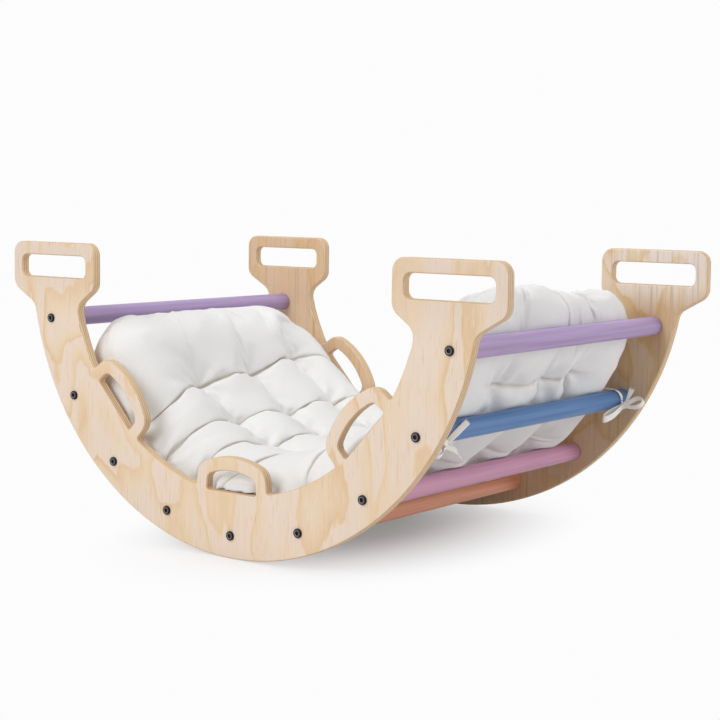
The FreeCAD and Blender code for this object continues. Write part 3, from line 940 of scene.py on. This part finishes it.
class Tape:
    """Strips of one tie, gathered in a single mesh with their own map along and across the tape."""

    def __init__(self):
        self.mesh = bmesh.new()
        self.map = self.mesh.loops.layers.uv.new("tape")

    def strip(self, stops, steps=7, cup=0.0):
        """A strip through stops, each a place, the way its flat side faces, and its width."""
        route = smooth_route([(*place, *facing, width) for place, facing, width in stops], steps)
        last = len(route) - 1
        run = 0.0
        rows = []
        for number, numbers in enumerate(route):
            here = Vector(numbers[:3])
            ahead = Vector(route[min(number + 1, last)][:3]) - Vector(route[max(number - 1, 0)][:3])
            if number:
                run += (here - Vector(route[number - 1][:3])).length
            across = ahead.cross(Vector(numbers[3:6])).normalized()
            outward = across.cross(ahead).normalized()
            row = []
            for lane in range(TAPE_LANES + 1):
                share = lane / TAPE_LANES - 0.5
                place = here + across * share * numbers[6] + outward * cup * (1 - 4 * share ** 2)
                row.append((self.mesh.verts.new(place), (run, share + 0.5)))
            rows.append(row)
        for low, high in zip(rows, rows[1:]):
            for lane in range(TAPE_LANES):
                corners = [low[lane], low[lane + 1], high[lane + 1], high[lane]]
                face = self.mesh.faces.new([vert for vert, _ in corners])
                for loop, (_, place) in zip(face.loops, corners):
                    loop[self.map].uv = place

    def fray(self, place, along, across):
        """Loose threads at a cut end."""
        facing = along.cross(across)
        for number in range(FRAY_THREADS):
            start = place + across * (number / (FRAY_THREADS - 1) - 0.5) * TAPE_WIDTH * 0.9
            lean = across * rng.uniform(-FRAY_LEAN, FRAY_LEAN)
            lean += facing * rng.uniform(-FRAY_LEAN, FRAY_LEAN)
            length = rng.uniform(*FRAY_LENGTH) * MM
            tip = start + (along + lean).normalized() * length
            middle = (start + tip) / 2 + lean * rng.uniform(-1, 1) * MM
            thinning = ((start, 0.5 * MM), (middle, 0.4 * MM), (tip, 0.2 * MM))
            self.strip([(spot, facing, width) for spot, width in thinning], steps=3)

    def finish(self, name, material):
        data = bpy.data.meshes.new(name)
        self.mesh.to_mesh(data)
        self.mesh.free()
        piece = bpy.data.objects.new(name, data)
        bpy.context.scene.collection.objects.link(piece)
        body = piece.modifiers.new("thickness", "SOLIDIFY")
        body.thickness = TAPE_THICKNESS
        body.offset = 0
        soft = piece.modifiers.new("soft", "SUBSURF")
        soft.levels = soft.render_levels = 1
        apply_all(piece)
        bpy.ops.object.shade_smooth()
        dress(piece, material)
        return piece


def bow_loop(tape, knot, reach, opening, across, width):
    """A loop of the bow from the knot out to its tip and back, opened to both sides."""
    along = reach.normalized()
    length = reach.length
    side = across.cross(along).normalized()
    stops = []
    for share, spread in LOOP_SHAPE:
        place = knot + along * length * share + side * opening * spread
        facing = side * spread + along * (share - 0.55) * 2 * (1 - abs(spread))
        stops.append((place, facing.normalized(), width * (0.66 + 0.34 * min(share * 5, 1))))
    tape.strip(stops, cup=0.5 * MM)


def tape_tie(side, end, cushion, material):
    """Tape sewn to the cushion's edge, round the rung from both sides and tied in a bow outside it."""
    angle = side * TIE_ANGLE
    turn = math.radians(angle)
    axis = around_arch(RUNG_CIRCLE, angle, end * (TIE_Y + TIE_SHIFT[end]))
    inward = Vector((-math.sin(turn), 0, math.cos(turn)))
    upward = Vector((math.cos(turn), 0, math.sin(turn))) * side

    def local(x, y, z):
        """Millimetres out of the arch's end, out through the panel and up."""
        return Vector((side * x, end * y, z)) * MM

    def ring(degrees, radius, shift=0.0):
        """Place round the rung, counted from its side towards the cushion."""
        bearing = math.radians(degrees)
        out = inward * math.cos(bearing) + upward * math.sin(bearing)
        return axis + out * radius + Vector((0, shift, 0))

    tape = Tape()
    drop = math.radians(KNOT_DROP[end])
    outward = Vector((side * math.cos(drop), 0, -math.sin(drop)))
    snug = RUNG_RADIUS + TAPE_ROOM
    knot = axis + outward * (snug + KNOT_RADIUS + KNOT_SLACK)
    _, root, normal, _ = cushion.closest_point_on_mesh(ring(0, 34 * MM))
    sewn = root - normal * SEWN_DEPTH
    for way, stop in WRAPS[end]:
        shift = way * WRAP_APART
        slide = Vector((0, shift, 0))
        stops = [(sewn + slide, upward * way, TAPE_WIDTH)]
        for degrees in range(WRAP_FIRST, stop, WRAP_STEP):
            place = ring(way * degrees, snug, shift)
            width = TAPE_WIDTH * (1 - WRAP_NARROWING * degrees / stop)
            stops.append((place, place - axis - slide, width))
        stops.append((knot - outward * 1.5 * MM, outward, 4 * MM))
        tape.strip(stops, steps=4, cup=0.35 * MM)

    # no two bows are tied alike
    jitter = [rng.uniform(-1.5, 1.5) for _ in range(6)]
    if end == REAR:
        out_reach = local(33 + jitter[0], 8, 10 + jitter[1])
        in_reach = local(-4, -57 + jitter[2], -17 + jitter[3])
        bow_loop(tape, knot, out_reach, 11 * MM, Vector((0.1 * side, -0.55, 0.8)), TAPE_WIDTH)
        bow_loop(tape, knot, in_reach, 5 * MM, Vector((0.25 * side, 0.1, 0.96)), 1.4 * TAPE_WIDTH)
        upper, lower = Vector((side * 0.6, -0.75, 0.25)), Vector((side * 0.85, 0, -0.5))
        tails = (
            (local(6, 1, 10), local(15 + jitter[4], 0, 28), upper, upper, 5 * MM),
            (local(1, -18, -8), local(-2, -42, -14 + jitter[5]), lower, lower, TAPE_WIDTH),
        )
    else:
        out_reach = local(15 + jitter[0], 21, 10 + jitter[1])
        in_reach = local(4, 22, -12 + jitter[3])
        bow_loop(tape, knot, out_reach, 5 * MM, Vector((0.3 * side, 0, 1)), TAPE_WIDTH)
        bow_loop(tape, knot, in_reach, 5 * MM, Vector((0.5 * side, 0, 0.85)), TAPE_WIDTH)
        upper = Vector((side * 0.75, 0, 0.66))
        tails = (
            (local(4, -20, 13), local(3, -54 + jitter[4], 28), upper, upper, TAPE_WIDTH),
            (local(5, -20, -7), local(7, -33, -19 + jitter[5]),
             Vector((side, 0, 0.2)), Vector((side * 0.6, 0.5, 0.4)), TAPE_WIDTH),
        )
    for bend, reach, facing, turned, waist in tails:
        along = (reach - bend).normalized()
        across = along.cross(turned).normalized()
        stops = [(knot, facing, min(6 * MM, waist)), (knot + bend, facing, waist),
                 (knot + bend.lerp(reach, 0.55), turned, (waist + TAPE_WIDTH) / 2),
                 (knot + reach, turned, TAPE_WIDTH)]
        tape.strip(stops, cup=0.4 * MM)
        tape.fray(knot + reach, along, across)

    through = (out_reach.normalized() - in_reach.normalized()).normalized()
    near = (outward - through * outward.dot(through)).normalized()
    over = through.cross(near)
    wrap = []
    for step in range(KNOT_STEPS + 1):
        bearing = math.tau * step / KNOT_STEPS
        out = near * math.cos(bearing) + over * math.sin(bearing)
        wrap.append((knot + out * KNOT_RADIUS * (1 + 0.06 * step / KNOT_STEPS), out, KNOT_WIDTH))
    tape.strip(wrap, steps=3, cup=0.9 * MM)

    ends = "%s_%s" % ("right" if side == RIGHT else "left", "rear" if end == REAR else "front")
    piece = tape.finish("bow_tie_" + ends, material)
    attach(piece, "cushion")
    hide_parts("tie_" + ends)


def tape_ties(cushion):
    material = herringbone_tape()
    for side in (LEFT, RIGHT):
        for end in (FRONT, REAR):
            tape_tie(side, end, cushion, material)


# Floor, light and camera

FLOOR_SIZE = 14
FLOOR_COLOUR = (0.82, 0.795, 0.79, 1)
SHADOW_LENGTH = 0.34
SHADOW_WIDTH = 0.52
BACKGROUND = (0.975, 0.975, 0.98, 1)
ROOM_LIGHT = (1.0, 0.992, 0.985, 1)
ROOM_STRENGTH = 0.38
# Softboxes: where each stands, the point it faces, the length of its sides, and its watts
SOFTBOXES = {
    "key": ((-0.4, -3.2, 2.3), (0, 0, 0.2), 2.0, 66),
    "fill": ((2.6, 1.3, 1.0), (0.1, 0, 0.2), 1.6, 26),
    "top": ((-0.1, 0.1, 2.6), (0, 0, 0.2), 1.6, 22),
}
# The camera's way from the centre of the near panel's circle, in radii of the rung circle, and its degrees
VIEW_WAY = (4.019, -4.475, 0.219)
VIEW_AZIMUTH = 37.45
VIEW_ELEVATION = 5.35
VIEW_LEAN = 0.89
SENSOR_WIDTH = 36
FOCAL_PIXELS = 1638
PICTURE_PIXELS = 720


def background_rays(tree):
    """1 for the rays that show the background: straight from the camera, or by way of gloss or glass."""
    path = tree.nodes.new("ShaderNodeLightPath")
    seen = path.outputs["Is Camera Ray"]
    for ray in ("Is Glossy Ray", "Is Transmission Ray"):
        either = tree.nodes.new("ShaderNodeMath")
        either.operation = "MAXIMUM"
        tree.links.new(seen, either.inputs[0])
        tree.links.new(path.outputs[ray], either.inputs[1])
        seen = either.outputs[0]
    return seen


def studio():
    deselect()
    bpy.ops.mesh.primitive_plane_add(size=FLOOR_SIZE)
    floor = bpy.context.object
    floor.name = "floor"
    f = Finish("white_floor")
    f.set(Base_Color=FLOOR_COLOUR, Roughness=0.9, Specular_IOR_Level=0.1)
    glow = f.add("ShaderNodeEmission")
    glow.inputs["Color"].default_value = BACKGROUND
    axes = f.split(f.place["Object"])
    along = f.math("POWER", f.math("DIVIDE", axes[0], SHADOW_LENGTH), 2.0)
    across = f.math("POWER", f.math("DIVIDE", axes[1], SHADOW_WIDTH), 2.0)
    radius = f.math("SQRT", f.math("ADD", along, across))
    blend = f.add("ShaderNodeMixShader")
    f.feed(blend, 0, f.math("MULTIPLY", background_rays(f.tree), f.span(radius, 0.15, 1.0, 0.2, 1.0)))
    f.join(f.shader, 0, blend, 1)
    f.join(glow, 0, blend, 2)
    f.join(blend, 0, f.output, 0)
    dress(floor, f.material)

    world = bpy.data.worlds.new("studio")
    world.use_nodes = True
    bpy.context.scene.world = world
    tree = world.node_tree
    tree.nodes.clear()
    out = tree.nodes.new("ShaderNodeOutputWorld")
    room = tree.nodes.new("ShaderNodeBackground")
    room.inputs["Color"].default_value = ROOM_LIGHT
    room.inputs["Strength"].default_value = ROOM_STRENGTH
    white = tree.nodes.new("ShaderNodeBackground")
    white.inputs["Color"].default_value = BACKGROUND
    white.inputs["Strength"].default_value = 1.0
    pick = tree.nodes.new("ShaderNodeMixShader")
    tree.links.new(background_rays(tree), pick.inputs[0])
    tree.links.new(room.outputs[0], pick.inputs[1])
    tree.links.new(white.outputs[0], pick.inputs[2])
    tree.links.new(pick.outputs[0], out.inputs[0])


def softbox(name, place, target, size, power):
    lamp = bpy.data.lights.new(name, "AREA")
    lamp.shape = "RECTANGLE"
    lamp.size = lamp.size_y = size
    lamp.energy = power
    holder = bpy.data.objects.new(name, lamp)
    bpy.context.scene.collection.objects.link(holder)
    holder.location = place
    holder.rotation_euler = (Vector(target) - Vector(place)).to_track_quat("-Z", "Y").to_euler()


def camera():
    """Where the photograph was taken from: a long lens, a little above the grips and barely rolled."""
    azimuth, elevation, lean = map(math.radians, (VIEW_AZIMUTH, VIEW_ELEVATION, VIEW_LEAN))
    away = Vector(VIEW_WAY) * RUNG_CIRCLE
    right = Vector((math.cos(azimuth), math.sin(azimuth), 0))
    ahead = Vector((-math.sin(azimuth) * math.cos(elevation), math.cos(azimuth) * math.cos(elevation),
                    -math.sin(elevation)))
    upright = Matrix.Rotation(-lean, 3, "Y")
    right, ahead, away = upright @ right, upright @ ahead, upright @ away
    up = right.cross(ahead)
    lens = bpy.data.cameras.new("camera")
    lens.sensor_width = SENSOR_WIDTH
    lens.lens = FOCAL_PIXELS / PICTURE_PIXELS * SENSOR_WIDTH
    holder = bpy.data.objects.new("camera", lens)
    bpy.context.scene.collection.objects.link(holder)
    turn = Matrix((right, up, -ahead)).transposed().to_4x4()
    holder.matrix_world = Matrix.Translation(Vector((0, -PANEL_OUTSIDE, ARCH_HEIGHT)) + away) @ turn
    bpy.context.scene.camera = holder


studio()
for box_name, box_settings in SOFTBOXES.items():
    softbox(box_name, *box_settings)
camera()
bpy.context.scene.view_settings.view_transform = "Standard"

dress_frame()
tape_ties(tufted_cushion())

deselect()
